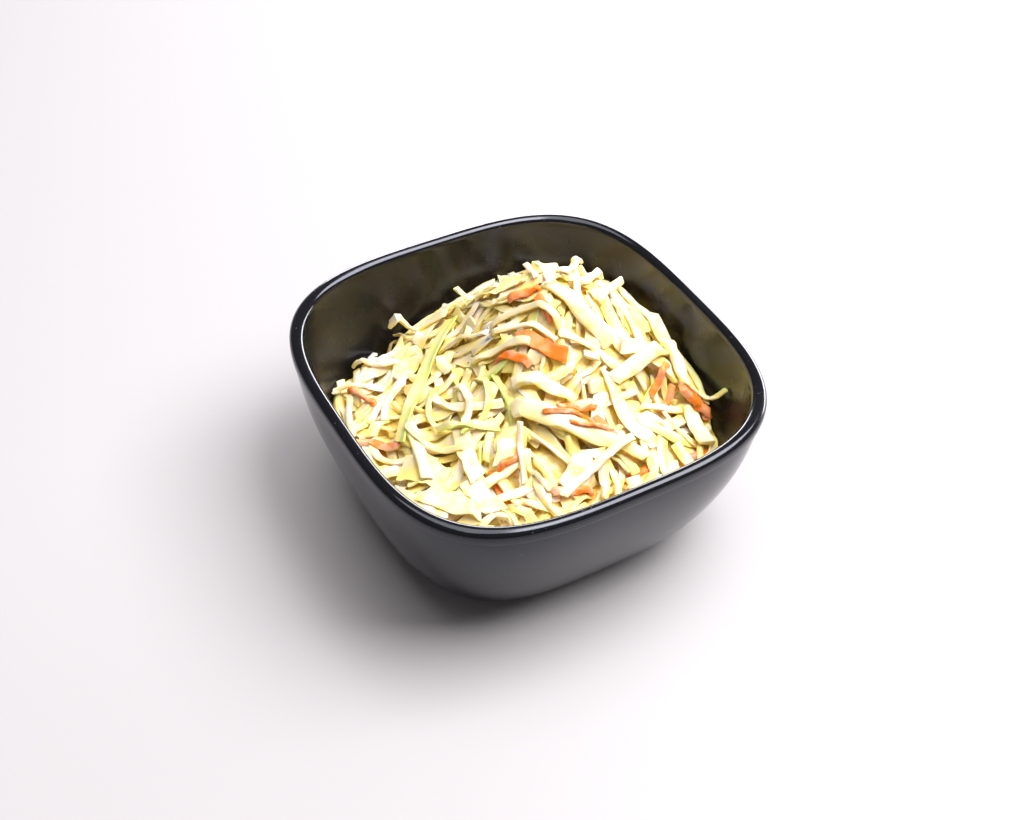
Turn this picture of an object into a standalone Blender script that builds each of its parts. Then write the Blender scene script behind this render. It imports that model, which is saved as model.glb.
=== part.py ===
"""Coleslaw in a square bowl: one moulded bowl and one heap of dressed cabbage and carrot shreds.

Metres, +Z up. The origin is the middle of the foot, on the surface that the bowl stands on, and
the bowl's four equal sides face -Y (front), +X, +Y and -X.
"""

import math
import random

import bmesh
import bpy
from mathutils import Vector

# Bowl: a moulded square dish with bulging sides, round corners and a bead round its rim.
HALF_WIDTH = 0.0650  # middle of the bowl to the middle of a side, at the rim's bead
HEIGHT = 0.0560
CORNER_POWER = 3.35  # exponent of the plan outline: 2 is a circle, and more is squarer
FLARE_POWER = 1.66  # exponent of the wall's curve, from the flat base up to the upright rim
BASE_HALF_WIDTH = 0.0420  # outer wall, where it leaves the foot
WALL = 0.0030
FLOOR = 0.0032
BEAD_HEIGHT = 0.0045
BEAD_WIDTH = 0.0042
BEAD_STEP = 0.0008  # how far the bead stands out of the wall below it
FOOT_WIDTH = 0.0070
FOOT_RECESS = 0.0010  # the underside inside the foot stands this far off the table
FILLET = 0.0005
OUTLINE_POINTS = 56
OUTLINE_CROWDING = 0.75  # 1 spaces the outline's points by angle, and less crowds them at the corners
WALL_RINGS = 8
BEAD_RINGS = 6

# Heap: a mound with its crown behind and to the right of the middle, and a bed that reaches the walls.
CROWN = Vector((0.0230, 0.0190))
CROWN_HEIGHT = 0.0600
CROWN_POWER = 1.85
BACK = Vector((0.533, 0.846))  # the way in which the mound falls off fastest
REACH_BACK = 0.0338
REACH_FRONT = 0.0440
REACH_SIDE = 0.0350
BED_HEIGHT = 0.0228
BED_SLOPE = Vector((-0.035, -0.090))  # the bed rises towards the front left corner
HEAP_GAP = 0.0003  # between the heap and the bowl that it rests in
HEAP_RINGS = 14
SKIRT_RINGS = 7
REACH_STEPS = 30  # halvings in the search for where the mound meets the wall

# Shreds that stand out of the heap's surface.
SHREDS = 150
SHRED_SEED = 11
SHRED_SPREAD = 0.0560  # half width of the area that the shreds' middles are spread over
SHRED_SCATTER = 0.0040
GOLDEN_ANGLE = math.pi * (3 - math.sqrt(5))
SHRED_LENGTH = (0.018, 0.040)
SHRED_HALF_WIDTH = (0.0015, 0.0028)
SHRED_HALF_THICKNESS = (0.0010, 0.0015)
SHRED_TURN = 1.1  # most that a shred bends from end to end, in radians
SHRED_LIFT = (-0.0006, 0.0014)  # middle of a shred over the mound
END_LIFT = 0.0060  # most that an end stands off the mound
SHRED_STATIONS = 9
SHRED_SIDES = 6
SHRED_CLEARANCE = 0.0012  # from a shred's middle line to the bowl's wall, beyond its half width

HEAP_VOXEL = 0.0009
HEAP_TRIANGLES = 6000


def clear_scene():
    for old in list(bpy.data.objects):
        bpy.data.objects.remove(old)


def finish_material(name, colour, roughness):
    material = bpy.data.materials.new(name)
    material.use_nodes = True
    shader = material.node_tree.nodes["Principled BSDF"]
    shader.inputs["Base Color"].default_value = (*colour, 1.0)
    shader.inputs["Roughness"].default_value = roughness
    return material


def outline_point(turn):
    """A point of the bowl's plan outline at a half width of 1: a bulging square with round corners."""
    x = math.copysign(abs(math.cos(turn)) ** OUTLINE_CROWDING, math.cos(turn))
    y = math.copysign(abs(math.sin(turn)) ** OUTLINE_CROWDING, math.sin(turn))
    spread = abs(x) ** CORNER_POWER + abs(y) ** CORNER_POWER
    return Vector((x, y, 0)) / spread ** (1 / CORNER_POWER)


def outline(half_width, z):
    turns = [2 * math.pi * i / OUTLINE_POINTS for i in range(OUTLINE_POINTS)]
    return [outline_point(turn) * half_width + Vector((0, 0, z)) for turn in turns]


def flared(base, top, low, high, rings):
    """(half width, height) stations of a wall that leaves its base flat and ends upright."""
    stations = []
    for i in range(rings + 1):
        turn = 0.5 * math.pi * i / rings
        out = math.sin(turn) ** (2 / FLARE_POWER)
        up = 1 - math.cos(turn) ** (2 / FLARE_POWER)
        stations.append((base + (top - base) * out, low + (high - low) * up))
    return stations


def cavity_half_width(z, inset=0.0):
    """Half width of the bowl's inside at a height, less an inset."""
    share = min(max((z - FLOOR) / (HEIGHT - BEAD_WIDTH / 2 - FLOOR), 0.0), 1.0)
    base = BASE_HALF_WIDTH - WALL
    top = HALF_WIDTH - BEAD_WIDTH
    out = (1 - (1 - share) ** FLARE_POWER) ** (1 / FLARE_POWER)
    return base + (top - base) * out - inset


def join_rings(mesh, rings):
    """A wall of faces through rings that have the same number of points."""
    for first, second in zip(rings, rings[1:]):
        for i in range(len(first)):
            j = (i + 1) % len(first)
            mesh.faces.new((first[i], first[j], second[j], second[i]))


def cap_ring(mesh, ring, middle):
    """A fan of faces over a ring."""
    middle = mesh.verts.new(middle)
    for i in range(len(ring)):
        mesh.faces.new((ring[i], ring[(i + 1) % len(ring)], middle))


def loft(name, stations, material):
    """A closed body through rings of the plan outline, with a fan of faces over each end."""
    mesh = bmesh.new()
    rings = [[mesh.verts.new(p) for p in outline(w, z)] for w, z in stations]
    join_rings(mesh, rings)
    for ring, (_, z) in ((rings[0], stations[0]), (rings[-1], stations[-1])):
        cap_ring(mesh, ring, (0, 0, z))
    bmesh.ops.recalc_face_normals(mesh, faces=mesh.faces)
    return as_object(name, mesh, material)


def as_object(name, mesh, material):
    data = bpy.data.meshes.new(name)
    mesh.to_mesh(data)
    mesh.free()
    data.materials.append(material)
    made = bpy.data.objects.new(name, data)
    bpy.context.scene.collection.objects.link(made)
    return made


def bead_stations():
    """The rim's bead, from the wall outside, over its round top, to the wall inside."""
    radius = BEAD_WIDTH / 2
    under = HEIGHT - BEAD_HEIGHT
    middle = HALF_WIDTH - radius
    stations = [
        (HALF_WIDTH - BEAD_STEP + FILLET / 2, under + FILLET / 4),
        (HALF_WIDTH - FILLET / 4, under + FILLET),
    ]
    for i in range(BEAD_RINGS + 1):
        turn = math.pi * i / BEAD_RINGS
        stations.append((middle + radius * math.cos(turn), HEIGHT - radius + radius * math.sin(turn)))
    return stations


def make_bowl(material):
    foot_inside = BASE_HALF_WIDTH - FOOT_WIDTH
    wall_top = HEIGHT - BEAD_HEIGHT
    underside = [(foot_inside - FOOT_RECESS, FOOT_RECESS), (foot_inside, 0.0)]
    outside = flared(BASE_HALF_WIDTH, HALF_WIDTH - BEAD_STEP, 0.0, wall_top, WALL_RINGS)
    inside = flared(
        BASE_HALF_WIDTH - WALL,
        HALF_WIDTH - BEAD_WIDTH,
        FLOOR,
        HEIGHT - BEAD_WIDTH / 2,
        WALL_RINGS,
    )
    # The bead ends where the wall inside begins, so that wall is taken from its second ring down.
    bowl = loft("bowl", underside + outside + bead_stations() + inside[-2::-1], material)
    bowl.data.shade_smooth()
    bowl.data.set_sharp_from_angle(angle=math.radians(40))
    return bowl


def mound_height(x, y):
    """Height of the heap's surface, without its shreds."""
    off = Vector((x, y)) - CROWN
    along = off.dot(BACK)
    across = off.x * BACK.y - off.y * BACK.x
    reach = REACH_BACK if along > 0 else REACH_FRONT
    distance = math.hypot(along / reach, across / REACH_SIDE)
    bed = BED_HEIGHT + BED_SLOPE.x * x + BED_SLOPE.y * y
    return bed + (CROWN_HEIGHT - bed) * math.exp(-(distance**CROWN_POWER))


def kept_inside(point, inset):
    """The point, drawn in towards the bowl's middle line if it would reach the wall."""
    limit = cavity_half_width(point.z, inset)
    spread = abs(point.x / limit) ** CORNER_POWER + abs(point.y / limit) ** CORNER_POWER
    size = spread ** (1 / CORNER_POWER)
    if size <= 1:
        return point
    return Vector((point.x / size, point.y / size, point.z))


def bed_reach(direction, inset):
    """How far along a direction the mound runs before it meets the wall, as a half width."""
    low, high = 0.0, HALF_WIDTH
    for _ in range(REACH_STEPS):
        tried = (low + high) / 2
        if tried < cavity_half_width(mound_height(direction.x * tried, direction.y * tried), inset):
            low = tried
        else:
            high = tried
    return low


def add_bed(mesh, inset):
    """The body of the heap: a disc over the mound, and a skirt down the bowl's inside to its floor."""
    directions = outline(1.0, 0.0)
    reaches = [bed_reach(direction, inset) for direction in directions]
    floor = FLOOR + inset
    rings = []
    for k in range(1, HEAP_RINGS + 1):
        places = [d.xy * (reach * k / HEAP_RINGS) for d, reach in zip(directions, reaches)]
        rings.append([mesh.verts.new((p.x, p.y, mound_height(p.x, p.y))) for p in places])
    for k in range(1, SKIRT_RINGS + 1):
        down = (1 - k / SKIRT_RINGS) ** 2
        ring = []
        for direction, reach in zip(directions, reaches):
            z = floor + (mound_height(direction.x * reach, direction.y * reach) - floor) * down
            width = cavity_half_width(z, inset)
            ring.append(mesh.verts.new((direction.x * width, direction.y * width, z)))
        rings.append(ring)
    join_rings(mesh, rings)
    cap_ring(mesh, rings[0], (0, 0, mound_height(0, 0)))
    cap_ring(mesh, rings[-1], (0, 0, floor))


def shred_path(middle, chance, half_width):
    """Middle line of a shred: a bent line over the mound, with its ends standing off it."""
    length = chance.uniform(*SHRED_LENGTH)
    heading = chance.uniform(0, 2 * math.pi)
    turn = chance.uniform(-SHRED_TURN, SHRED_TURN)
    lift = chance.uniform(*SHRED_LIFT)
    end_lifts = [END_LIFT * chance.random() ** 2 for _ in range(2)]
    path = []
    for i in range(SHRED_STATIONS):
        along = 2 * i / (SHRED_STATIONS - 1) - 1
        angle = heading + turn * along / 2
        place = middle + Vector((math.cos(angle), math.sin(angle))) * (along * length / 2)
        z = mound_height(place.x, place.y) + lift + end_lifts[along > 0] * along**2
        path.append(kept_inside(Vector((place.x, place.y, z)), half_width + SHRED_CLEARANCE))
    return path


def add_shred(mesh, middle, chance):
    """One bar of cabbage or carrot with an oval section."""
    half_width = chance.uniform(*SHRED_HALF_WIDTH)
    half_thickness = chance.uniform(*SHRED_HALF_THICKNESS)
    path = shred_path(middle, chance, half_width)
    rings = []
    for i, centre in enumerate(path):
        ahead = path[min(i + 1, SHRED_STATIONS - 1)] - path[max(i - 1, 0)]
        side = ahead.cross(Vector((0, 0, 1))).normalized() * half_width
        up = side.cross(ahead).normalized() * half_thickness
        angles = [2 * math.pi * k / SHRED_SIDES for k in range(SHRED_SIDES)]
        rings.append([mesh.verts.new(centre + side * math.cos(a) + up * math.sin(a)) for a in angles])
    join_rings(mesh, rings)
    mesh.faces.new(rings[0])
    mesh.faces.new(rings[-1])


def spread_middles(chance):
    """Middles of the shreds, spread evenly over the bowl and then moved a little."""
    middles = []
    for i in range(SHREDS):
        angle = i * GOLDEN_ANGLE
        size = SHRED_SPREAD * math.sqrt((i + 0.5) / SHREDS)
        moved = Vector((chance.uniform(-1, 1), chance.uniform(-1, 1))) * SHRED_SCATTER
        middles.append(outline_point(angle).xy * size + moved)
    return middles


def replace_by_evaluated(made):
    """Makes what the object's modifiers give its own mesh."""
    shown = made.evaluated_get(bpy.context.evaluated_depsgraph_get())
    result = bpy.data.meshes.new_from_object(shown)
    made.modifiers.clear()
    made.data = result


def keep_largest_island(made):
    mesh = bmesh.new()
    mesh.from_mesh(made.data)
    left = set(mesh.verts)
    islands = []
    while left:
        front = [left.pop()]
        island = set(front)
        while front:
            for edge in front.pop().link_edges:
                for vert in edge.verts:
                    if vert in left:
                        left.discard(vert)
                        island.add(vert)
                        front.append(vert)
        islands.append(island)
    islands.sort(key=len)
    loose = [vert for island in islands[:-1] for vert in island]
    bmesh.ops.delete(mesh, geom=loose, context="VERTS")
    mesh.to_mesh(made.data)
    mesh.free()


def make_cavity(material):
    """The bowl's inside less the gap, open far above the rim: what the heap may fill."""
    inside = flared(
        BASE_HALF_WIDTH - WALL - HEAP_GAP,
        HALF_WIDTH - BEAD_WIDTH - HEAP_GAP,
        FLOOR + HEAP_GAP,
        HEIGHT - BEAD_WIDTH / 2 + HEAP_GAP,
        WALL_RINGS,
    )
    above = (inside[-1][0], 2 * HEIGHT)
    cavity = loft("heap_limit", inside + [above], material)
    cavity.data.shade_smooth()
    cavity.hide_render = True
    cavity.display_type = "WIRE"
    return cavity


def make_heap(material):
    chance = random.Random(SHRED_SEED)
    mesh = bmesh.new()
    add_bed(mesh, -2 * HEAP_GAP)
    for middle in spread_middles(chance):
        add_shred(mesh, middle, chance)
    bmesh.ops.recalc_face_normals(mesh, faces=mesh.faces)
    heap = as_object("coleslaw", mesh, material)
    grow = heap.modifiers.new("grown_together", "REMESH")
    grow.mode = "VOXEL"
    grow.voxel_size = HEAP_VOXEL
    replace_by_evaluated(heap)
    keep_largest_island(heap)
    thin = heap.modifiers.new("fewer_faces", "DECIMATE")
    thin.ratio = HEAP_TRIANGLES / (2 * len(heap.data.polygons))
    replace_by_evaluated(heap)
    heap.data.shade_smooth()
    trim = heap.modifiers.new("inside_the_bowl", "BOOLEAN")
    trim.operation = "INTERSECT"
    trim.object = make_cavity(material)
    return heap


def main():
    clear_scene()
    make_bowl(finish_material("black_melamine", (0.020, 0.021, 0.025), 0.25))
    make_heap(finish_material("dressed_slaw", (0.86, 0.82, 0.58), 0.35))


main()
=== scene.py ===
"""Coleslaw in a black square bowl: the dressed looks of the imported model.

Metres, +Z up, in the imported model's frame. The bowl's sides face -Y (front), +X, +Y and -X.
"""

import math
import random

import bpy
import numpy as np
from mathutils import Matrix, Vector


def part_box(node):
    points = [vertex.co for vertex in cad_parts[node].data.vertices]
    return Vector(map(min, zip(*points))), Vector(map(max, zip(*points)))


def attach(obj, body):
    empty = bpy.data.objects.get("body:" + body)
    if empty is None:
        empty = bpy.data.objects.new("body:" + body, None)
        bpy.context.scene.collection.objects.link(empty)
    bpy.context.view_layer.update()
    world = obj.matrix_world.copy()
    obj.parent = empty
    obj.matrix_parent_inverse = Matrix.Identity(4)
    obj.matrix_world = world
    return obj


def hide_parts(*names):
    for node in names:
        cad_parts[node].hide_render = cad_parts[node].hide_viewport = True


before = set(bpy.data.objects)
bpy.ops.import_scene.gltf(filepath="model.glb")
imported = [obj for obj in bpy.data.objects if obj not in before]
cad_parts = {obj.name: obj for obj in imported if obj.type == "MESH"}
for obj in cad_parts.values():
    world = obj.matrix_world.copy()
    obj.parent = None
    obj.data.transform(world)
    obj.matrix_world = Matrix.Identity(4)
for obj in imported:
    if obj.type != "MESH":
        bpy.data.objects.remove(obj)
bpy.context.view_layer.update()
MM = 0.001

# ---- Bowl ------------------------------------------------------------------------------------
# A square dish with bulging sides and a beaded rim, compression moulded in black melamine. It is
# glossy outside and on its rim, and duller inside, where dressing was wiped down its wall.

_, bowl_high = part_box("bowl")
RIM = bowl_high.x
HEIGHT = bowl_high.z
CORNER_POWER = 3.35
FLARE_POWER = 1.66
BASE = 42.0 * MM
WALL = 3.0 * MM
FLOOR = 3.2 * MM
BEAD_HEIGHT = 4.5 * MM
BEAD_WIDTH = 4.2 * MM
BEAD_STEP = 0.8 * MM
BEAD_GROOVE = 0.3 * MM
BEAD_LIP = (0.15 * MM, 0.12 * MM)
BEAD_EDGE = (0.6 * MM, 0.65 * MM)
FOOT_WIDTH = 7.0 * MM
FOOT_RECESS = 1.0 * MM
AROUND = 224
WALL_RINGS = 26
SMOOTH_UNDER = math.radians(50)
FILM_MARGIN = 0.4 * MM
FILM_FADE = 6.0 * MM
MELAMINE = (0.0035, 0.0040, 0.0055)
DRESSING_FILM = (0.009, 0.006, 0.0055)
SPECK = (0.16, 0.16, 0.16)


def outline_share(x, y):
    """How far out a place is, as a share of the half width at which the bowl's outline meets it."""
    return (np.abs(x) ** CORNER_POWER + np.abs(y) ** CORNER_POWER) ** (1 / CORNER_POWER)


def inner_half_width(z):
    """Half the width of the bowl's inside at a height."""
    share = np.clip((z - FLOOR) / (HEIGHT - BEAD_WIDTH / 2 - FLOOR), 0.0, 1.0)
    out = (1 - (1 - share) ** FLARE_POWER) ** (1 / FLARE_POWER)
    return BASE - WALL + (RIM - BEAD_WIDTH - BASE + WALL) * out


def flared(base, top, low, high):
    """(half width, height) stations of a wall that leaves its base flat and ends upright."""
    turns = np.linspace(0, math.pi / 2, WALL_RINGS + 1)
    out = np.sin(turns) ** (2 / FLARE_POWER)
    up = 1 - np.cos(turns) ** (2 / FLARE_POWER)
    return list(zip(base + (top - base) * out, low + (high - low) * up))


def bowl_stations():
    """The section of the bowl, from the underside's middle round the rim to the inside's floor."""
    bead = BEAD_WIDTH / 2
    under = HEIGHT - BEAD_HEIGHT
    wall_edge = RIM - BEAD_STEP
    stations = [(BASE - FOOT_WIDTH - FOOT_RECESS, FOOT_RECESS), (BASE - FOOT_WIDTH, 0.0)]
    stations += flared(BASE, wall_edge, 0.0, under - BEAD_GROOVE)
    stations += [(wall_edge, under), (wall_edge + BEAD_LIP[0], under + BEAD_LIP[1])]
    for turn in np.linspace(-0.45 * math.pi, 0, 6):
        width = RIM - BEAD_EDGE[0] + BEAD_EDGE[0] * math.cos(turn)
        stations.append((width, under + BEAD_STEP + BEAD_EDGE[1] * math.sin(turn)))
    for turn in np.linspace(0, math.pi, 19):
        stations.append((RIM - bead + bead * math.cos(turn), HEIGHT - bead + bead * math.sin(turn)))
    inside = flared(BASE - WALL, RIM - BEAD_WIDTH, FLOOR, HEIGHT - bead)
    return stations + inside[-2::-1]


def extrude_stations(name, stations):
    """A body of rings of the outline: a filled circle's edge is extruded from station to station."""
    width, height = stations[0]
    bpy.ops.object.select_all(action="DESELECT")
    bpy.ops.mesh.primitive_circle_add(vertices=AROUND, radius=1.0, fill_type="NGON")
    made = bpy.context.object
    made.name = made.data.name = name
    for vertex in made.data.vertices:
        vertex.co.xy *= width / outline_share(vertex.co.x, vertex.co.y)
        vertex.co.z = height
    bpy.ops.object.mode_set(mode="EDIT")
    bpy.ops.mesh.select_all(action="SELECT")
    bpy.ops.mesh.flip_normals()
    bpy.ops.mesh.select_mode(type="EDGE")
    bpy.ops.mesh.region_to_loop()
    for next_width, next_height in stations[1:]:
        rise = (0, 0, next_height - height)
        bpy.ops.mesh.extrude_edges_move(TRANSFORM_OT_translate={"value": rise})
        grow = next_width / width
        bpy.ops.transform.resize(value=(grow, grow, 1), center_override=(0, 0, next_height))
        width, height = next_width, next_height
    bpy.ops.mesh.edge_face_add()
    bpy.ops.mesh.select_all(action="SELECT")
    bpy.ops.mesh.normals_make_consistent(inside=False)
    bpy.ops.object.mode_set(mode="OBJECT")
    bpy.ops.object.shade_smooth_by_angle(angle=SMOOTH_UNDER)
    return made


bowl = extrude_stations("bowl_moulded", bowl_stations())


def new_material(name, colour, roughness):
    """A plain material, with its nodes, its links and its shader."""
    material = bpy.data.materials.new(name)
    material.use_nodes = True
    shader = material.node_tree.nodes["Principled BSDF"]
    shader.inputs["Base Color"].default_value = (*colour, 1)
    shader.inputs["Roughness"].default_value = roughness
    return material, material.node_tree.nodes, material.node_tree.links, shader


def object_place(nodes):
    return nodes.new("ShaderNodeTexCoord").outputs["Object"]


def attribute_node(nodes, name):
    node = nodes.new("ShaderNodeAttribute")
    node.attribute_name = name
    return node.outputs["Fac"]


def noise_node(nodes, links, vector, scale, detail=4.0):
    node = nodes.new("ShaderNodeTexNoise")
    node.inputs["Scale"].default_value = scale
    node.inputs["Detail"].default_value = detail
    node.inputs["Roughness"].default_value = 0.55
    links.new(vector, node.inputs["Vector"])
    return node.outputs["Fac"]


def remap(nodes, links, value, low, high, to_low=0.0, to_high=1.0):
    """A value stretched from one range to another, and held inside it."""
    node = nodes.new("ShaderNodeMapRange")
    node.inputs["From Min"].default_value = low
    node.inputs["From Max"].default_value = high
    node.inputs["To Min"].default_value = to_low
    node.inputs["To Max"].default_value = to_high
    links.new(value, node.inputs["Value"])
    return node.outputs["Result"]


def mix_colours(nodes, links, share, first, second):
    """Mixes two colours, each given as three numbers or as a node's output."""
    node = nodes.new("ShaderNodeMix")
    node.data_type = "RGBA"
    links.new(share, node.inputs["Factor"])
    for socket, colour in (("A", first), ("B", second)):
        target = [i for i in node.inputs if i.name == socket and i.type == "RGBA"][0]
        if isinstance(colour, tuple):
            target.default_value = (*colour, 1)
        else:
            links.new(colour, target)
    return [o for o in node.outputs if o.type == "RGBA"][0]


def multiply(nodes, links, first, second):
    """The product of two values, each given as a number or as a node's output."""
    node = nodes.new("ShaderNodeMath")
    node.operation = "MULTIPLY"
    for socket, value in zip(node.inputs, (first, second)):
        if isinstance(value, float):
            socket.default_value = value
        else:
            links.new(value, socket)
    return node.outputs["Value"]


def multiply_add(nodes, links, value, factor, added, clamp=False):
    """A value times a number, plus another value."""
    node = nodes.new("ShaderNodeMath")
    node.operation = "MULTIPLY_ADD"
    node.use_clamp = clamp
    links.new(value, node.inputs[0])
    node.inputs[1].default_value = factor
    links.new(added, node.inputs[2])
    return node.outputs["Value"]


def bump_node(nodes, links, shader, height, strength, distance):
    """Relief from a height, on a shader's normal."""
    node = nodes.new("ShaderNodeBump")
    node.inputs["Strength"].default_value = strength
    node.inputs["Distance"].default_value = distance
    links.new(height, node.inputs["Height"])
    links.new(node.outputs["Normal"], shader.inputs["Normal"])


def black_melamine():
    """Faintly bluish black with a few pale specks, slightly worn, and a dull film on its inside."""
    material, nodes, links, shader = new_material("black_melamine", (0.012, 0.013, 0.017), 0.26)
    shader.inputs["IOR"].default_value = 1.55
    shader.inputs["Specular Tint"].default_value = (0.86, 0.88, 1.0, 1)
    place = object_place(nodes)
    inside = attribute_node(nodes, "inside")
    smears = remap(nodes, links, noise_node(nodes, links, place, scale=60.0, detail=3.0), 0.42, 0.66)
    film = multiply(nodes, links, smears, inside)
    spots = remap(nodes, links, noise_node(nodes, links, place, scale=900.0, detail=2.0), 0.70, 0.76)
    colour = mix_colours(nodes, links, film, MELAMINE, DRESSING_FILM)
    colour = mix_colours(nodes, links, multiply(nodes, links, spots, 0.35), colour, SPECK)
    links.new(colour, shader.inputs["Base Color"])
    rubbed = noise_node(nodes, links, place, scale=70.0, detail=6.0)
    wear = remap(nodes, links, rubbed, 0.35, 0.70, 0.08, 0.18)
    links.new(multiply_add(nodes, links, inside, 0.14, wear), shader.inputs["Roughness"])
    grain = noise_node(nodes, links, place, scale=1600.0, detail=2.0)
    bump_node(nodes, links, shader, grain, strength=0.12, distance=0.05 * MM)
    return material


def mark_inside(made):
    """The wall inside, under the bead, is where the dressing's film lies."""
    attribute = made.data.attributes.new("inside", "FLOAT", "POINT")
    for vertex, value in zip(made.data.vertices, attribute.data):
        x, y, z = vertex.co
        out = outline_share(x, y)
        inner = out < inner_half_width(z) + FILM_MARGIN and z > FLOOR - FILM_MARGIN / 2
        value.value = min(1.0, (HEIGHT - z) / FILM_FADE) if inner else 0.0


mark_inside(bowl)
bowl.data.materials.append(black_melamine())
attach(bowl, "root")
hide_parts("bowl")

# ---- Cabbage and carrot shreds ---------------------------------------------------------------
# White cabbage cut across its leaves into flat bands that keep the leaf's curl, with thick pieces
# of rib, green-edged bands of outer leaf, and sticks of carrot. They're tossed together, so they
# are laid one by one on a map of the heap's height, and then each kind is joined into one piece.

# The heap: its crown is off the bowl's middle, and slopes down to a nearly level bed.
CROWN = Vector((23.0, 19.0)) * MM
CROWN_HEIGHT = 61.5 * MM
CROWN_POWER = 1.85
BACK = Vector((0.533, 0.846))
REACH_BACK = 33.8 * MM
REACH_FRONT = 44.0 * MM
REACH_SIDE = 35.0 * MM
BED_HEIGHT = 23.0 * MM
BED_SLOPE = (-0.035, -0.090)
START_DEPTH = 12.0 * MM
LUMP_HEIGHT = 2.2 * MM
SETTLING = 0.38
SETTLING_REACH = 5
CELL = 0.5 * MM
MAP_REACH = 64.0 * MM
# The shreds: how they lie, how they're cut, and the painted shade in their hollows and on their undersides.
WALL_GAP = 0.6 * MM
STEEPEST = 0.9
LIFT_POWER = 1.4
EDGE_POWER = 0.5
END_SLANT = 0.6
END_RAGGED = 0.18
SHARP_FROM = math.radians(48)
STRIP_COLUMNS = 6
# Painted shade: shreds turn golden from this depth below the heap's closed surface, over this depth, and on
# faces that turn down.
DEEP_FROM = 0.4 * MM
DEEP_OVER = 3.5 * MM
UNDERSIDE_SHADE = 0.8
# Golden colour of the fibre streaks and of the painted shade, for cabbage and for carrot.
STREAK_AND_SHADE = (0.99, 0.77, 0.24)
CARROT_STREAK_AND_SHADE = (0.96, 0.25, 0.02)
CREAMY_COAT = (0.94, 0.81, 0.71)
# Sizes in mm, the most a shred turns in radians, and its passes in settle(): more are stiffer.
KINDS = {
    "fine_cabbage": dict(length=(11, 30), width=(1.8, 3.3), thickness=(1.0, 1.6), turn=1.8, passes=(2, 12)),
    "broad_cabbage": dict(length=(11, 28), width=(3.2, 5.4), thickness=(1.1, 1.8), turn=1.2, passes=(3, 14)),
    "rib_cabbage": dict(length=(10, 24), width=(3.6, 6.0), thickness=(2.0, 3.0), turn=0.5, passes=(14, 40)),
    "green_cabbage": dict(length=(12, 28), width=(2.0, 4.2), thickness=(0.8, 1.3), turn=1.6, passes=(2, 12)),
    "leaf_cabbage": dict(length=(8, 15), width=(6.0, 10.0), thickness=(0.7, 1.0), turn=0.4, passes=(3, 10)),
    "carrot": dict(length=(8, 20), width=(1.6, 2.8), thickness=(1.2, 2.0), turn=0.6, passes=(4, 16)),
}


def heap_height(x, y):
    """Height that the heap's shreds reach, where x and y are numbers or arrays."""
    along = (x - CROWN.x) * BACK.x + (y - CROWN.y) * BACK.y
    across = (x - CROWN.x) * BACK.y - (y - CROWN.y) * BACK.x
    reach = np.where(along > 0, REACH_BACK, REACH_FRONT)
    distance = np.hypot(along / reach, across / REACH_SIDE)
    bed = BED_HEIGHT + BED_SLOPE[0] * x + BED_SLOPE[1] * y
    return bed + (CROWN_HEIGHT - bed) * np.exp(-(distance**CROWN_POWER))


def lumps(x, y):
    """The heap's unevenness, from how it fell off the spoon, as two waves that bend each other."""
    over_x = np.sin(x / (3.1 * MM) + 1.3 * np.sin(y / (4.3 * MM)))
    over_y = np.sin(y / (3.7 * MM) + np.sin(x / (5.0 * MM)))
    return LUMP_HEIGHT * (over_x * over_y)


def wall_height(x, y):
    """Height of the bowl's inside above a place, from its floor up to its rim."""
    out = (outline_share(x, y) - BASE + WALL) / (RIM - BEAD_WIDTH - BASE + WALL)
    out = np.clip(out, 0.0, 1.0)
    share = 1 - (1 - out**FLARE_POWER) ** (1 / FLARE_POWER)
    return FLOOR + (HEIGHT - BEAD_WIDTH / 2 - FLOOR) * share


cells = int(2 * MAP_REACH / CELL) + 1
grid = (np.arange(cells) - cells // 2) * CELL
grid_x, grid_y = np.meshgrid(grid, grid, indexing="ij")
heap_target = heap_height(grid_x, grid_y) + lumps(grid_x, grid_y)
heap_top = np.maximum(heap_target - START_DEPTH, wall_height(grid_x, grid_y))
in_bowl = outline_share(grid_x, grid_y) < inner_half_width(heap_target) - 1.0 * MM
laid = {kind: [] for kind in KINDS}


def cell_of(value):
    """The row or column of the map's cell at a place."""
    return np.clip(np.round(value / CELL).astype(int) + cells // 2, 0, cells - 1)


def settle(support, passes):
    """A springy line that rests on a support: it bridges hollows, and its ends are free."""
    line = support.copy()
    for _ in range(passes):
        ahead = np.append(line[1:], 2 * line[-1] - line[-2])
        behind = np.insert(line[:-1], 0, 2 * line[0] - line[1])
        line = np.maximum((ahead + behind) / 2, support)
    return line


def smoothed(line):
    """A line with its corners rounded and its ends kept."""
    for _ in range(3):
        line = np.concatenate([line[:1], (line[:-2] + 2 * line[1:-1] + line[2:]) / 4, line[-1:]])
    return line


def unit(vectors):
    return vectors / np.linalg.norm(vectors, axis=1)[:, None]


def shred_path(middle, heading, length, turn, sway, s, phase, chance):
    """A shred's line seen from above: an arc with a little sway, centred on its middle."""
    angle = heading + turn * s
    angle = angle + sway * np.sin(chance.uniform(2, 4) * math.pi * s + phase)
    step = length / (len(s) - 1)
    x = np.cumsum(np.cos(angle)) * step
    y = np.cumsum(np.sin(angle)) * step
    x += middle[0] - (x[0] + x[-1]) / 2
    y += middle[1] - (y[0] + y[-1]) / 2
    return x, y


def heap_under(x, y, side_x, side_y, half):
    """The height that carries a shred along its line, and the heap's slope across it."""
    offsets = np.array([-1.0, -0.5, 0.0, 0.5, 1.0]) * half
    around_x = x[:, None] + side_x[:, None] * offsets
    around_y = y[:, None] + side_y[:, None] * offsets
    tops = heap_top[cell_of(around_x), cell_of(around_y)]
    tilt = (tops[:, 4] - tops[:, 0]) / (2 * half)
    tilt = np.clip(np.convolve(np.pad(tilt, 3, mode="edge"), np.ones(7) / 7, "valid"), -STEEPEST, STEEPEST)
    return (tops - offsets * tilt[:, None]).max(axis=1), tilt


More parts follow.
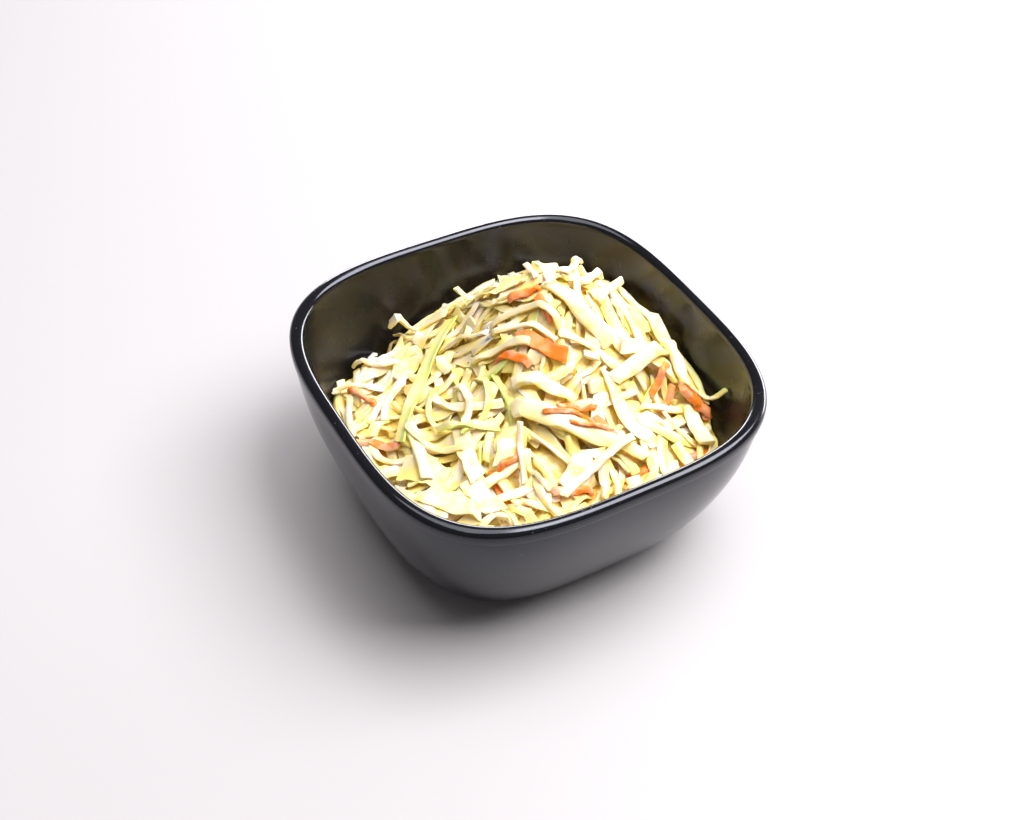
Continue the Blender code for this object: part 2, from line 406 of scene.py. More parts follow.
def lay(
    kind, middle, heading, chance, length, width, thickness, turn, passes, roll, twist, taper,
    lift, stations, sides, sway=0.08, sink=0.3 * MM, highest=5.0 * MM, squeeze=1.06,
):
    """Lays one shred on the heap, raises the heap there and keeps the shred's rings of points.

    Lift is how far its ends stand up, sink how deep it beds in, highest how far it may rise over
    the heap's outline, and squeeze how far it may be drawn in to stay clear of the wall.
    """
    s = np.linspace(-0.5, 0.5, stations)
    phase = chance.uniform(0, 2 * math.pi)
    x, y = shred_path(middle, heading, length, turn, sway, s, phase, chance)
    room = inner_half_width(heap_top[cell_of(x), cell_of(y)]) - width / 2 - WALL_GAP
    over = np.maximum(outline_share(x, y) / room, 1.0)
    if over.max() > squeeze:
        return
    x, y = (smoothed(line / over) for line in (x, y))
    ahead = unit(np.stack([np.gradient(x), np.gradient(y)], 1))
    side_x, side_y = -ahead[:, 1], ahead[:, 0]
    flat = abs(math.cos(roll))
    half = 0.5 * (width * flat + thickness * (1 - flat))
    support, tilt = heap_under(x, y, side_x, side_y, half)
    tall = 0.5 * (thickness * flat + width * abs(math.sin(roll)))
    z = settle(support + tall, passes) - sink
    z = z + np.where(s < 0, lift[0], lift[1]) * np.abs(2 * s) ** LIFT_POWER
    if (z - heap_height(x, y)).max() > highest:
        return
    centre = np.stack([x, y, z], 1)
    along = unit(np.gradient(centre, axis=0))
    level = np.stack([side_x, side_y, tilt], 1)
    level = unit(level - along * (level * along).sum(1)[:, None])
    upright = np.cross(along, level)
    turned = (roll + twist * s)[:, None]
    across = level * np.cos(turned) + upright * np.sin(turned)
    up = upright * np.cos(turned) - level * np.sin(turned)
    raise_heap(centre, across, up, width, thickness, length)
    slim = 1 - taper * (0.5 + s) ** 2
    widths = width * slim * (1 + 0.04 * np.sin(5 * s * math.pi + phase))
    thicknesses = thickness * slim * (1 + 0.10 * np.cos(7 * s + phase))
    laid[kind].append(shred_points(centre, along, across, up, widths, thicknesses, sides, chance))


def raise_heap(centre, across, up, width, thickness, length):
    """Marks the top of a shred on the map of the heap's height."""
    here = np.linspace(0, len(centre) - 1, max(int(length / (0.4 * MM)), 8))
    index = np.arange(len(centre))
    point, side, rise = (
        np.stack([np.interp(here, index, line[:, k]) for k in range(3)], 1)
        for line in (centre, across, up)
    )
    for out in np.linspace(-0.5, 0.5, 5):
        for over in (-0.5, 0.5):
            place = point + side * (out * width) + rise * (over * thickness)
            np.maximum.at(heap_top, (cell_of(place[:, 0]), cell_of(place[:, 1])), place[:, 2])


def shred_points(centre, along, across, up, widths, thicknesses, sides, chance):
    """Rings of a band with round edges and cut ends, its place across, and two random numbers."""
    turn = 2 * math.pi * (np.arange(sides) + 0.5) / sides
    out = np.sign(np.cos(turn)) * np.abs(np.cos(turn)) ** EDGE_POWER
    over = np.sign(np.sin(turn)) * np.abs(np.sin(turn)) ** EDGE_POWER
    cup = chance.uniform(-0.08, 0.20) * widths
    run = np.insert(np.cumsum(np.linalg.norm(np.diff(centre, axis=0), axis=1)), 0, 0.0)
    rings = centre[:, None] + across[:, None] * (out * widths[:, None] / 2)[:, :, None]
    rise = over * thicknesses[:, None] / 2 + cup[:, None] * (out**2 - 0.5)
    rings = rings + up[:, None] * rise[:, :, None]
    for i, distance in ((0, run), (-1, run[-1] - run)):
        near_end = np.clip(1 - distance / (1.6 * widths), 0, 1)
        slant = chance.uniform(-END_SLANT, END_SLANT) * near_end * widths / 2
        rings += along[:, None] * (out * slant[:, None])[:, :, None]
        ragged = np.array([chance.uniform(-END_RAGGED, END_RAGGED) for _ in range(sides)]) * MM
        rings[i] += along[i] * ragged[:, None]
    ends = []
    for i, way in ((0, -1), (-1, 1)):
        middle = rings[i].mean(0)
        ends.append(middle + (rings[i] - middle) * 0.7 + along[i] * (way * 0.2 * MM))
    return np.array([ends[0], *rings, ends[1]]), out, chance.random(), chance.random()


def lay_kind(kind, middle, heading, chance, **given):
    """Lays a shred of a kind, with whatever isn't given drawn from the kind's ranges."""
    sizes = KINDS[kind]
    thin = kind in ("fine_cabbage", "green_cabbage")
    values = dict(
        length=chance.uniform(*sizes["length"]) * MM,
        width=chance.uniform(*sizes["width"]) * MM,
        thickness=chance.uniform(*sizes["thickness"]) * MM,
        turn=chance.uniform(-sizes["turn"], sizes["turn"]),
        passes=chance.randint(*sizes["passes"]),
        roll=chance.choice((0.0, 0.0, 0.3, -0.3, 1.2)) if thin else 0.0,
        twist=0.0 if kind == "rib_cabbage" else chance.uniform(-0.9, 0.9),
        taper=chance.uniform(0.2, 0.55) if kind == "rib_cabbage" else 0.0,
    )
    values.update(given)
    lay(kind, middle, heading, chance=chance, **values)


MIX = ["fine_cabbage"] * 44 + ["broad_cabbage"] * 28 + ["rib_cabbage"] * 4
MIX += ["green_cabbage"] * 8 + ["leaf_cabbage"] * 4 + ["carrot"] * 2
TOSS_REACH = 60
TOSS_TRIES = 10
TOSS_LIFT = 5
TOSS_SINK = 0.8 * MM
NEAR_TOP = 5 * MM


def lowest_place(chance, length):
    """Of some random places and headings, the one where the heap is furthest below its outline."""
    best = -1.0
    place = None
    heading = 0.0
    tries = TOSS_TRIES
    along = np.linspace(-0.5, 0.5, 9) * length
    while place is None or tries > 0:
        x = chance.uniform(-TOSS_REACH, TOSS_REACH) * MM
        y = chance.uniform(-TOSS_REACH, TOSS_REACH) * MM
        i, j = cell_of(np.array([x, y]))
        if not in_bowl[i, j]:
            continue
        tries -= 1
        turn = chance.uniform(0, 2 * math.pi)
        i, j = cell_of(x + along * math.cos(turn)), cell_of(y + along * math.sin(turn))
        lacks = np.where(in_bowl[i, j], heap_target[i, j] - heap_top[i, j], -2 * MM)
        lack = 0.8 * lacks.mean() + 0.2 * lacks.min()
        if lack > best:
            best, place, heading = lack, (x, y), turn
    return place, heading, best


def toss(chance, rounds, shorter, least):
    """Fills the heap up to its outline with shreds of all kinds, where it's lowest."""
    for _ in range(rounds):
        kind = chance.choice(MIX)
        length = chance.uniform(*KINDS[kind]["length"]) * MM * shorter
        place, heading, lack = lowest_place(chance, length)
        if lack < least:
            continue
        near = lack < NEAR_TOP
        lay_kind(
            kind,
            place,
            heading,
            chance,
            stations=14 if near else 9,
            sides=8 if near else 6,
            length=length,
            lift=[chance.random() ** 4 * TOSS_LIFT * MM for _ in range(2)],
            sink=TOSS_SINK,
        )


toss(random.Random(5), rounds=3400, shorter=1.0, least=1.2 * MM)

# Kind, start and end, width, thickness, turn, and how far each end stands up: mm and radians.
PLACED = (
    # Big pieces of rib and leaf over the heap's front and right.
    ("rib_cabbage", (-8, -9), (21, -39), 6.6, 4.0, 0.25, (0, 0)),
    ("rib_cabbage", (-5, -3), (9, -15), 5.0, 3.0, -0.2, (0, 0)),
    ("broad_cabbage", (18, 18), (28, -4), 5.5, 1.8, 0.3, (0, 0)),
    ("rib_cabbage", (32, -6), (46, -18), 5.5, 3.4, -0.5, (0, 1)),
    ("broad_cabbage", (24, -14), (50, -8), 5.0, 2.2, 0.4, (0, 0)),
    ("rib_cabbage", (50, -6), (48, -24), 5.0, 3.0, 0.3, (0, 0)),
    ("broad_cabbage", (46, 21), (53, -3), 5.0, 1.6, -0.2, (1, 0)),
    ("broad_cabbage", (46, -27), (43, -41), 5.0, 2.2, 0.2, (0, 1)),
    ("leaf_cabbage", (-43, -17), (-33, -31), 9.0, 0.8, 0.4, (0, 2)),
    ("leaf_cabbage", (-31, -19), (-29, -35), 7.5, 0.8, 0.3, (1, 0)),
    ("broad_cabbage", (-24, -3), (-29, -23), 5.5, 1.8, 0.2, (1, 0)),
    ("broad_cabbage", (-35, 13), (-41, -13), 4.2, 1.6, -0.2, (0, 0)),
    ("leaf_cabbage", (4, 42), (15, 25), 7.0, 0.8, 0.2, (0, 0)),
    ("broad_cabbage", (0, 48), (-15, 43), 5.0, 1.6, 0.3, (2, 0)),
    # Carrot, some of it in the hollows.
    ("carrot", (7, 22), (15, 18), 3.0, 1.8, 0.2, (0, 0)),
    ("carrot", (13, 15), (13, 5), 3.0, 2.0, 0.3, (0, 0)),
    ("carrot", (2, 9), (12, -5), 5.0, 1.2, 0.3, (0, 0)),
    ("carrot", (-5, 9), (1, -1), 2.6, 1.6, 0.0, (0, 0)),
    ("carrot", (2, -17), (14, -20), 2.0, 1.2, -0.4, (0, 0)),
    ("carrot", (36, -19), (44, -15), 2.2, 1.2, 0.3, (0, 0)),
    ("carrot", (45, -23), (52, -31), 3.4, 2.4, 0.2, (0, 1)),
    ("carrot", (-3, -17), (14, -26), 1.5, 1.1, -0.3, (0, 0)),
    ("carrot", (3, -23), (14, -30), 1.4, 1.0, 0.2, (0, 0)),
    ("carrot", (-21, -22), (-13, -22), 2.4, 1.6, 0.2, (0, 0)),
    ("carrot", (-11, -37), (0, -41), 2.8, 1.8, 0.2, (0, 0)),
    ("carrot", (-43, 37), (-39, 27), 2.2, 1.6, 0.2, (0, 0)),
    # Long bands and rings of green-edged leaf on the left and in front.
    ("green_cabbage", (-3, 41), (-41, 5), 4.4, 1.2, 0.3, (0, 0)),
    ("fine_cabbage", (-24, 15), (-10, -4), 3.0, 1.4, 1.2, (0, 0)),
    ("green_cabbage", (-20, 18), (-26, -5), 2.0, 1.2, 1.9, (0, 0)),
    ("green_cabbage", (-13, 11), (-25, -7), 2.0, 1.2, -2.2, (0, 0)),
    ("fine_cabbage", (-17, 13), (-23, -4), 2.6, 1.4, -1.1, (0, 0)),
    ("green_cabbage", (-14, -9), (-30, 1), 2.6, 1.0, -0.9, (0, 0)),
    ("green_cabbage", (-37, 8), (-27, -11), 2.2, 1.0, 0.9, (0, 0)),
    ("broad_cabbage", (-9, 16), (3, 3), 3.0, 1.8, -0.2, (0, 1)),
    ("fine_cabbage", (0, 21), (14, 3), 2.4, 1.4, -1.0, (0, 0)),
    ("fine_cabbage", (-2, 17), (11, 0), 2.2, 1.4, -0.8, (0, 0)),
    ("fine_cabbage", (-9, -40), (18, -35), 2.8, 1.6, -0.3, (0, 2)),
    ("green_cabbage", (57, -5), (52, -28), 2.2, 1.2, -0.9, (0, 0)),
    ("green_cabbage", (46, -22), (58, -31), 1.8, 1.2, 0.2, (0, 3)),
    # Ends that stick up along the crown and out over the bowl's side.
    ("fine_cabbage", (12, 31), (6, 41), 2.4, 1.8, 0.2, (0, 11)),
    ("fine_cabbage", (10, 34), (-1, 43), 1.8, 1.4, 0.3, (0, 11)),
    ("fine_cabbage", (-4, 44), (-21, 51), 2.8, 1.8, 0.2, (0, 13)),
    ("fine_cabbage", (2, 42), (-12, 48), 2.4, 1.6, -0.8, (0, 10)),
    ("fine_cabbage", (-33, 32), (-49, 41), 2.4, 1.6, 0.2, (0, 2)),
    ("fine_cabbage", (-24, 40), (-37, 50), 2.4, 1.6, -0.3, (0, 4)),
    ("fine_cabbage", (16, 22), (18, 31), 2.0, 1.6, 0.2, (0, 4)),
    ("broad_cabbage", (18, 16), (22, 27), 3.2, 1.6, 0.2, (0, 2)),
    ("broad_cabbage", (24, 18), (35, 26), 3.6, 1.6, 0.3, (0, 4)),
    ("fine_cabbage", (28, 14), (40, 20), 2.8, 1.8, 0.2, (0, 3)),
    ("fine_cabbage", (32, 8), (44, 14), 2.6, 1.8, -0.2, (0, 4)),
    ("fine_cabbage", (-10, -15), (-16, -29), 2.0, 1.2, 0.2, (4, 0)),
)


def place_shreds(chance):
    """Lays the big and marked shreds, each from its start to its end."""
    for kind, start, end, width, thickness, turn, lift in PLACED:
        span_x = (end[0] - start[0]) * MM
        span_y = (end[1] - start[1]) * MM
        bowed = abs(turn / 2) / math.sin(abs(turn / 2)) if turn else 1.0
        lay_kind(
            kind,
            ((start[0] + end[0]) / 2 * MM, (start[1] + end[1]) / 2 * MM),
            math.atan2(span_y, span_x),
            chance,
            length=math.hypot(span_x, span_y) * bowed,
            width=width * MM,
            thickness=thickness * MM,
            turn=turn,
            passes=24,
            roll=0.0,
            twist=chance.uniform(-0.3, 0.3),
            lift=(lift[0] * MM, lift[1] * MM),
            stations=24,
            sides=12,
            sway=0.04,
            highest=16 * MM,
            squeeze=1.5,
        )


place_shreds(random.Random(3))
toss(random.Random(8), rounds=800, shorter=0.6, least=1.6 * MM)


def widened(values, reach, pick):
    """The highest or lowest of the heights around each cell, within a square."""
    for axis in (0, 1):
        values = pick.reduce([np.roll(values, k, axis) for k in range(-reach, reach + 1)])
    return values


def closed_over(values, reach):
    """The heights with narrow gaps closed over and smoothed."""
    values = widened(widened(values, reach, np.maximum), reach, np.minimum)
    for _ in range(3):
        values = sum(np.roll(values, k, 0) for k in (-1, 0, 1)) / 3
        values = sum(np.roll(values, k, 1) for k in (-1, 0, 1)) / 3
    return values


def settled(z, around):
    """Heights in the heap's hollows, raised towards its closed surface as the slaw packs down."""
    return z + SETTLING * np.maximum(around - z, 0)


heap_around = closed_over(heap_top, SETTLING_REACH)
heap_top = settled(heap_top, heap_around)


def between_cells(heights, x, y):
    """The height at places between the map's cells."""
    i, j = (np.clip(v / CELL + cells // 2, 0, cells - 1.001) for v in (x, y))
    m, n = i.astype(int), j.astype(int)
    a, b = i - m, j - n
    low = heights[m, n] * (1 - a) + heights[m + 1, n] * a
    high = heights[m, n + 1] * (1 - a) + heights[m + 1, n + 1] * a
    return low * (1 - b) + high * b


def shred_looks(rings, across, tint, kink):
    """Values for each point of a shred: its random numbers, its place, and how it faces down, for painted
    shade on its undersides.
    """
    count, sides = rings.shape[:2]
    outward = rings - rings.mean(1, keepdims=True)
    rise = outward[:, :, 2] / (np.linalg.norm(outward, axis=2) + 1e-9)
    run = np.linalg.norm(np.diff(rings.mean(1), axis=0), axis=1)
    return {
        "tint": np.full(count * sides, tint),
        "kink": np.full(count * sides, kink),
        "across": np.tile(across, count),
        "run": np.repeat(np.insert(np.cumsum(run), 0, 0.0), sides),
        "deep": np.clip((0.55 - rise) / 0.6, 0, 1).ravel(),
    }


def shred_faces(base, count, sides, number, rows):
    """A shred's faces, turned outwards, and their corners in its own strip of the UV map."""
    along_u = (number % STRIP_COLUMNS + 0.05 + 0.9 * np.arange(count) / (count - 1)) / STRIP_COLUMNS
    round_v = (number // STRIP_COLUMNS + 0.08 + 0.84 * np.arange(sides + 1) / sides) / rows
    faces = []
    corners = []
    for i in range(count - 1):
        low = base + i * sides
        high = low + sides
        for k in range(sides):
            m = (k + 1) % sides
            faces.append((low + k, low + m, high + m, high + k))
            corners += [(along_u[i], round_v[k]), (along_u[i], round_v[k + 1])]
            corners += [(along_u[i + 1], round_v[k + 1]), (along_u[i + 1], round_v[k])]
    for ring, way in ((0, -1), (count - 1, 1)):
        faces.append(tuple(base + ring * sides + k for k in range(sides))[::way])
        corners += [(along_u[ring], round_v[sides // 2])] * sides
    return faces, corners


def linked_piece(name, mesh):
    made = bpy.data.objects.new(name, mesh)
    bpy.context.scene.collection.objects.link(made)
    return made


def shred_piece(kind):
    """Joins a kind's shreds into one mesh, packed down where they lie in the heap's hollows."""
    faces = []
    corners = []
    looks = []
    base = 0
    rows = math.ceil(len(laid[kind]) / STRIP_COLUMNS)
    for number, (rings, across, tint, kink) in enumerate(laid[kind]):
        count, sides = rings.shape[:2]
        more_faces, more_corners = shred_faces(base, count, sides, number, rows)
        faces += more_faces
        corners += more_corners
        looks.append(shred_looks(rings, across, tint, kink))
        base += count * sides
    points = np.concatenate([rings.reshape(-1, 3) for rings, *_ in laid[kind]])
    values = {name: np.concatenate([look[name] for look in looks]) for name in looks[0]}
    # Painted shade: golden where a point lies below the heap's closed surface, and on the shred's undersides
    # and sides.
    around = between_cells(heap_around, points[:, 0], points[:, 1])
    depth = np.clip((around - points[:, 2] - DEEP_FROM) / DEEP_OVER, 0, 1)
    values["deep"] = np.clip(depth + UNDERSIDE_SHADE * values["deep"], 0, 1)
    points[:, 2] = settled(points[:, 2], around)
    mesh = bpy.data.meshes.new(kind)
    mesh.from_pydata(points.tolist(), [], faces)
    mesh.uv_layers.new(name="OFBake").data.foreach_set("uv", np.array(corners).ravel())
    for name, numbers in values.items():
        mesh.attributes.new(name, "FLOAT", "POINT").data.foreach_set("value", numbers)
    mesh.shade_smooth()
    mesh.set_sharp_from_angle(angle=SHARP_FROM)
    made = linked_piece(kind, mesh)
    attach(made, "root")
    return made


def add_sockets(group, way, colours, values):
    for name in colours:
        group.interface.new_socket(name=name, in_out=way, socket_type="NodeSocketColor")
    for name in values:
        group.interface.new_socket(name=name, in_out=way, socket_type="NodeSocketFloat")


def dressed_group():
    """Creamy dressing over a shred, with painted shade: its colour, its gloss and its height, from the
    shred's own.
    """
    group = bpy.data.node_groups.new("dressed", "ShaderNodeTree")
    add_sockets(group, "INPUT", ("Flesh", "Streak and shade"), ("Coat",))
    add_sockets(group, "OUTPUT", ("Colour",), ("Gloss", "Height"))
    nodes, links = group.nodes, group.links
    given = nodes.new("NodeGroupInput").outputs
    result = nodes.new("NodeGroupOutput").inputs
    place = object_place(nodes)
    tint, deep, run, across = (attribute_node(nodes, n) for n in ("tint", "deep", "run", "across"))
    strand = nodes.new("ShaderNodeCombineXYZ")
    links.new(multiply(nodes, links, run, 90.0), strand.inputs["X"])
    links.new(multiply(nodes, links, across, 3.0), strand.inputs["Y"])
    links.new(multiply(nodes, links, tint, 60.0), strand.inputs["Z"])
    fibres = noise_node(nodes, links, strand.outputs["Vector"], scale=1.0)
    side = nodes.new("ShaderNodeMath")
    side.operation = "ABSOLUTE"
    links.new(across, side.inputs[0])
    edges = remap(nodes, links, side.outputs["Value"], 0.70, 1.0)
    soaked = remap(nodes, links, noise_node(nodes, links, place, scale=110.0), 0.35, 0.70)
    # Painted shade: the hollows, undersides and side edges take the golden shade colour; the random soaked
    # patches are dressing soaking in.
    soak_and_shade = multiply_add(nodes, links, edges, 0.35, deep)
    soak_and_shade = multiply_add(nodes, links, soaked, 0.30, soak_and_shade, clamp=True)
    flesh = mix_colours(nodes, links, soak_and_shade, given["Flesh"], given["Streak and shade"])
    streaks = remap(nodes, links, fibres, 0.40, 0.75, 0.0, 0.30)
    flesh = mix_colours(nodes, links, streaks, flesh, given["Streak and shade"])
    dabs = noise_node(nodes, links, place, scale=170.0, detail=3.0)
    blobs = remap(nodes, links, dabs, 0.46, 0.58)
    thick = multiply(nodes, links, blobs, remap(nodes, links, tint, 0.0, 1.0, 0.4, 2.0))
    coat = multiply(nodes, links, thick, given["Coat"])
    links.new(mix_colours(nodes, links, coat, flesh, CREAMY_COAT), result["Colour"])
    links.new(remap(nodes, links, coat, 0.0, 1.0, 0.36, 0.20), result["Gloss"])
    links.new(multiply_add(nodes, links, blobs, 0.8, fibres), result["Height"])
    return group


DRESSED = dressed_group()


def make_moist(shader):
    """Light sinks a little way into moist flesh and dressing, and comes out warmer."""
    shader.inputs["IOR"].default_value = 1.4
    shader.inputs["Subsurface Weight"].default_value = 1.0
    shader.inputs["Subsurface Radius"].default_value = (1.0, 0.92, 0.66)
    shader.inputs["Subsurface Scale"].default_value = 0.4 * MM


def shred_material(name, flesh, edge, edge_share, coat):
    """A shred's flesh with a coloured edge along one side of some shreds, under the dressing."""
    material, nodes, links, shader = new_material(name, flesh, 0.3)
    across = attribute_node(nodes, "across")
    kink = attribute_node(nodes, "kink")
    chosen = remap(nodes, links, kink, 1 - edge_share - 0.02, 1 - edge_share + 0.02)
    edged = multiply(nodes, links, remap(nodes, links, across, -0.4, 0.9), chosen)
    dressed = nodes.new("ShaderNodeGroup")
    dressed.node_tree = DRESSED
    links.new(mix_colours(nodes, links, edged, flesh, edge), dressed.inputs["Flesh"])
    # The golden colour for painted shade and fibre streaks, tinted towards the edge colour on edged shreds.
    streak_and_shade = CARROT_STREAK_AND_SHADE if name == "carrot" else STREAK_AND_SHADE
    faint = multiply(nodes, links, edged, 0.7)
    links.new(mix_colours(nodes, links, faint, streak_and_shade, edge), dressed.inputs["Streak and shade"])
    dressed.inputs["Coat"].default_value = coat
    links.new(dressed.outputs["Colour"], shader.inputs["Base Color"])
    links.new(dressed.outputs["Gloss"], shader.inputs["Roughness"])
    make_moist(shader)
    bump_node(nodes, links, shader, dressed.outputs["Height"], strength=0.3, distance=0.15 * MM)
    return material


# Colours of the flesh and of the edge, the share of shreds with that edge, and the coat.
LOOKS = {
    "fine_cabbage": ((0.93, 0.79, 0.66), (0.82, 0.82, 0.46), 0.35, 0.5),
    "broad_cabbage": ((0.93, 0.80, 0.68), (0.82, 0.83, 0.50), 0.35, 0.5),
    "rib_cabbage": ((0.93, 0.81, 0.70), (0.84, 0.83, 0.54), 0.20, 0.5),
    "green_cabbage": ((0.88, 0.82, 0.50), (0.54, 0.73, 0.17), 0.85, 0.30),
    "leaf_cabbage": ((0.92, 0.81, 0.62), (0.74, 0.81, 0.40), 0.60, 0.5),
    "carrot": ((0.94, 0.20, 0.015), (0.96, 0.38, 0.08), 0.40, 0.22),
}
for kind, looks in LOOKS.items():
    piece = shred_piece(kind)
    piece.data.materials.append(shred_material(kind, *looks))

# ---- Pepper ----------------------------------------------------------------------------------
# Coarsely ground black pepper in the dressing: a few dark flakes that lie on the shreds.

PEPPER_FLAKES = 34
PEPPER_SIZE = (0.45, 0.95)
PEPPER_REACH = 50
PEPPER_CHIPS = (0.7, 1.2)
PEPPER_FLATNESS = 0.45
PEPPER_NEAR_TOP = 2.5 * MM


def pepper_flakes(chance):
    """Flattened, chipped grains on the heap, joined into one mesh."""
    bpy.ops.object.select_all(action="DESELECT")
    bpy.ops.mesh.primitive_ico_sphere_add(subdivisions=1, radius=0.5)
    grain = bpy.context.object
    shape = np.array([vertex.co[:] for vertex in grain.data.vertices])
    sides = [tuple(face.vertices) for face in grain.data.polygons]
    bpy.data.objects.remove(grain)
    points = []
    faces = []
    while len(points) < PEPPER_FLAKES:
        x = chance.uniform(-PEPPER_REACH, PEPPER_REACH) * MM
        y = chance.uniform(-PEPPER_REACH, PEPPER_REACH) * MM
        i, j = cell_of(np.array([x, y]))
        if not in_bowl[i, j] or abs(heap_top[i, j] - heap_target[i, j]) > PEPPER_NEAR_TOP:
            continue
        size = chance.uniform(*PEPPER_SIZE) * MM
        chips = np.array([chance.uniform(*PEPPER_CHIPS) for _ in shape])[:, None]
        turn = Matrix.Rotation(chance.uniform(0, math.pi), 3, (chance.uniform(-0.5, 0.5), 0.3, 1))
        flake = shape * chips * (size, size * chance.uniform(0.6, 1.0), size * PEPPER_FLATNESS)
        faces += [tuple(len(points) * len(shape) + k for k in side) for side in sides]
        points.append(flake @ np.array(turn).T + (x, y, heap_top[i, j]))
    mesh = bpy.data.meshes.new("pepper")
    mesh.from_pydata(np.concatenate(points).tolist(), [], faces)
    return linked_piece("pepper", mesh)


def ground_pepper():
    """Nearly black, with brown flecks and a rough break."""
    material, nodes, links, shader = new_material("pepper", (0.03, 0.02, 0.012), 0.5)
    place = object_place(nodes)
    shades = remap(nodes, links, noise_node(nodes, links, place, scale=1500.0, detail=2.0), 0.35, 0.65)
    colour = mix_colours(nodes, links, shades, (0.012, 0.008, 0.006), (0.10, 0.055, 0.025))
    links.new(colour, shader.inputs["Base Color"])
    broken = noise_node(nodes, links, place, scale=4000.0)
    bump_node(nodes, links, shader, broken, strength=0.5, distance=0.1 * MM)
    return material


pepper = pepper_flakes(random.Random(21))
pepper.data.materials.append(ground_pepper())
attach(pepper, "root")

# ---- Dressing --------------------------------------------------------------------------------
# The creamy dressing that lies between the shreds, with the finest scraps of cabbage in it. It
# is one body: it fills the narrow gaps up to the shreds' sides, and the heap's middle.

DRESSING_GAP = 0.3 * MM
DRESSING_BELOW = 0.5 * MM
DRESSING_AROUND = 360
DRESSING_RINGS = 110
DRESSING_DOWN = 8
DRESSING_STEP = 0.1 * MM
# Painted shade: the dressing turns golden from this depth below the heap's closed surface.
DRESSING_SHADE_FROM = 1.2 * MM
CREAM = ((0.98, 0.82, 0.48), (0.98, 0.84, 0.62))
# Golden painted shade of the dressing, where it lies deep between the shreds.
DRESSING_SHADE = ((0.92, 0.58, 0.07), (0.98, 0.77, 0.22))


def dressing_map():
    """The dressing's height: the shreds' tops, narrow gaps closed, set in and a little lower."""
    closed = widened(widened(heap_top, 2, np.maximum), 3, np.minimum)
    closed = np.minimum(closed - DRESSING_BELOW, heap_target - 0.5 * MM)
    for _ in range(2):
        closed = (closed + sum(np.roll(closed, k, axis) for axis in (0, 1) for k in (-1, 1))) / 5
    return closed


dressing_top = dressing_map()


def dressing_body():
    """Rings of the outline over the dressing's top, and down the bowl's inside to its floor."""
    turns = np.linspace(0, 2 * math.pi, DRESSING_AROUND, endpoint=False)
    unscaled = outline_share(np.cos(turns), np.sin(turns))
    x = np.cos(turns) / unscaled
    y = np.sin(turns) / unscaled
    reach = np.full(DRESSING_AROUND, 0.9 * RIM)
    for _ in range(200):
        room = inner_half_width(between_cells(dressing_top, x * reach, y * reach)) - DRESSING_GAP
        reach = np.where(reach > room, reach - DRESSING_STEP, reach)
    edge = between_cells(dressing_top, x * reach, y * reach)
    bottom = FLOOR + DRESSING_GAP
    rings = []
    for share in np.arange(1, DRESSING_RINGS + 1) / DRESSING_RINGS:
        here_x = x * reach * share
        here_y = y * reach * share
        rings.append(np.stack([here_x, here_y, between_cells(dressing_top, here_x, here_y)], 1))
    for step in range(1, DRESSING_DOWN + 1):
        z = bottom + (edge - bottom) * (1 - step / DRESSING_DOWN) ** 2
        size = np.minimum(inner_half_width(z) - DRESSING_GAP, reach)
        rings.append(np.stack([x * size, y * size, z], 1))
    top = (0, 0, dressing_top[cells // 2, cells // 2])
    points = [top, *np.concatenate(rings).tolist(), (0, 0, bottom)]
    pairs = [(i, (i + 1) % DRESSING_AROUND) for i in range(DRESSING_AROUND)]
    faces = [(0, 1 + i, 1 + j) for i, j in pairs]
    for ring in range(len(rings) - 1):
        first = 1 + ring * DRESSING_AROUND
        second = first + DRESSING_AROUND
        faces += [(first + i, second + i, second + j, first + j) for i, j in pairs]
    last = 1 + (len(rings) - 1) * DRESSING_AROUND
    faces += [(last + j, last + i, len(points) - 1) for i, j in pairs]
    mesh = bpy.data.meshes.new("dressing")
    mesh.from_pydata(points, [], faces)
    # Painted shade: how far each point lies below the heap's closed surface.
    place = np.array(points)
    around = heap_around[cell_of(place[:, 0]), cell_of(place[:, 1])]
    depth = np.clip((around - place[:, 2] - DRESSING_SHADE_FROM) / DEEP_OVER, 0, 1)
    mesh.attributes.new("deep", "FLOAT", "POINT").data.foreach_set("value", depth)
    mesh.shade_smooth()
    return linked_piece("dressing", mesh)


def creamy_dressing():
    """Pale and smooth on top, with painted shade: golden where it lies deep between the shreds."""
    material, nodes, links, shader = new_material("dressing", (0.96, 0.80, 0.45), 0.25)
    place = object_place(nodes)
    patches = remap(nodes, links, noise_node(nodes, links, place, scale=200.0), 0.35, 0.65)
    cream = mix_colours(nodes, links, patches, *CREAM)
    # Painted shade: golden where the dressing lies deep.
    shaded = mix_colours(nodes, links, patches, *DRESSING_SHADE)
    colour = mix_colours(nodes, links, attribute_node(nodes, "deep"), cream, shaded)
    links.new(colour, shader.inputs["Base Color"])
    make_moist(shader)
    ripples = noise_node(nodes, links, place, scale=700.0)
    bump_node(nodes, links, shader, ripples, strength=0.4, distance=0.3 * MM)
    return material


dressing = dressing_body()
dressing.data.materials.append(creamy_dressing())
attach(dressing, "root")
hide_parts("coleslaw")

# ---- Table, light and camera -----------------------------------------------------------------
# A white table in a pale room. Three soft lights: the key high over the right front, one straight
# above, and a low wide one behind the right, which brightens the table and that side of the bowl.

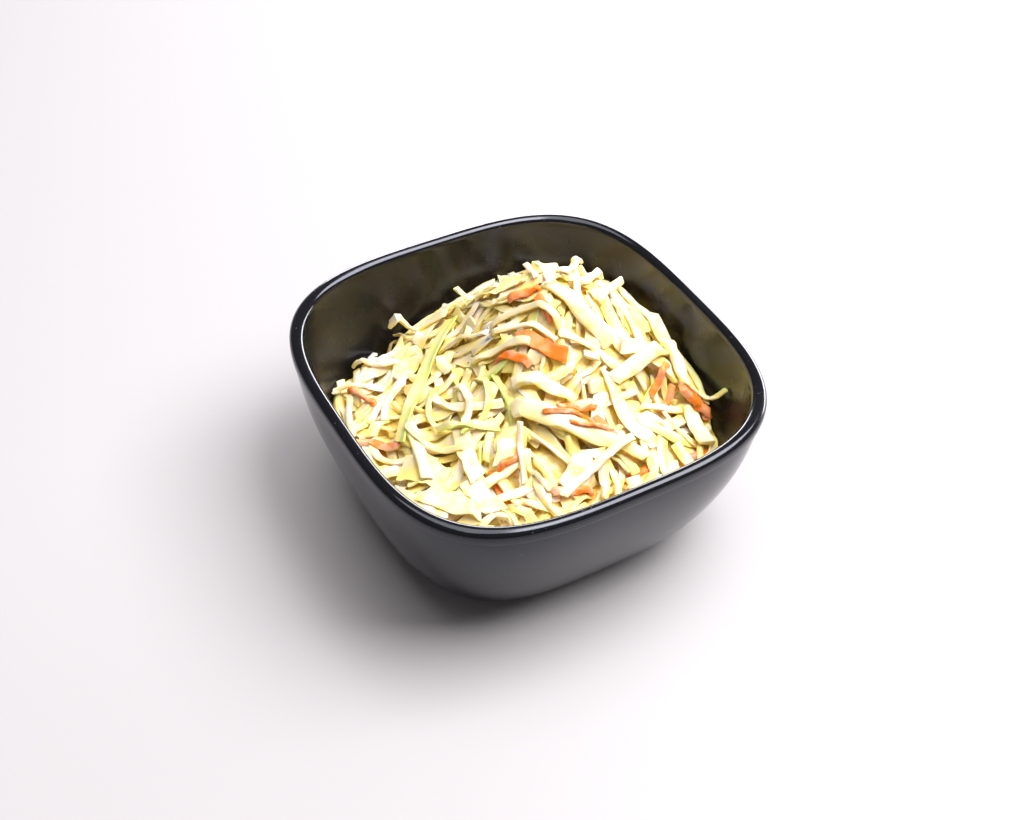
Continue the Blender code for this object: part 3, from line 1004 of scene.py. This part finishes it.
TABLE_WHITE = (0.445, 0.433, 0.445)
WARM_WHITE = (1.0, 0.985, 0.98)
COOL_WHITE = (1.0, 0.985, 1.0)
ROOM_COLOUR = (1.04, 0.96, 1.0)
ROOM_LIGHT = 0.18
CAMERA_TURN = math.radians(-32.25)
CAMERA_RISE = math.radians(44.63)
CAMERA_ROLL = math.radians(3.24)
CAMERA_DISTANCE = 7.018 * RIM
CAMERA_ASIDE = -0.048 * RIM
CAMERA_ABOVE = 0.040 * RIM

bpy.ops.mesh.primitive_plane_add(size=8)
table = bpy.context.object
table.name = "table"
table.data.materials.append(new_material("white_table", TABLE_WHITE, 0.6)[0])

back = Vector((
    math.sin(CAMERA_TURN) * math.cos(CAMERA_RISE),
    -math.cos(CAMERA_TURN) * math.cos(CAMERA_RISE),
    math.sin(CAMERA_RISE),
))
level_right = Vector((0, 0, 1)).cross(back).normalized()
level_up = back.cross(level_right)
place = Vector((0, 0, HEIGHT / 2)) + back * CAMERA_DISTANCE
place += level_right * CAMERA_ASIDE + level_up * CAMERA_ABOVE
right = level_right * math.cos(CAMERA_ROLL) + level_up * math.sin(CAMERA_ROLL)
up = level_up * math.cos(CAMERA_ROLL) - level_right * math.sin(CAMERA_ROLL)
pose = Matrix((right, up, back)).transposed().to_4x4()
pose.translation = place
bpy.ops.object.camera_add()
camera = bpy.context.object
camera.matrix_world = pose
camera.data.lens = 50
camera.data.sensor_width = 36
camera.data.clip_start = 0.01
bpy.context.scene.camera = camera


def softbox(name, direction, distance, size, power, colour):
    """A rectangle of light that faces the bowl from a direction."""
    bpy.ops.object.light_add(type="AREA", location=Vector(direction).normalized() * distance)
    light = bpy.context.object
    light.name = name
    light.rotation_euler = Vector(direction).to_track_quat("Z", "Y").to_euler()
    light.data.shape = "RECTANGLE"
    light.data.size, light.data.size_y = size
    light.data.energy = power
    light.data.color = colour


softbox("key", (0.433, -0.182, 0.883), 1.2, (0.80, 0.90), 24.5, WARM_WHITE)
softbox("overhead", (0.000, 0.100, 0.995), 2.0, (1.60, 1.60), 28.0, WARM_WHITE)
softbox("backdrop", (0.784, 0.604, 0.140), 2.2, (4.00, 0.60), 107.0, COOL_WHITE)
world = bpy.data.worlds.new("room")
world.use_nodes = True
world.node_tree.nodes["Background"].inputs["Color"].default_value = (*ROOM_COLOUR, 1)
world.node_tree.nodes["Background"].inputs["Strength"].default_value = ROOM_LIGHT
bpy.context.scene.world = world
bpy.context.scene.view_settings.view_transform = "Standard"
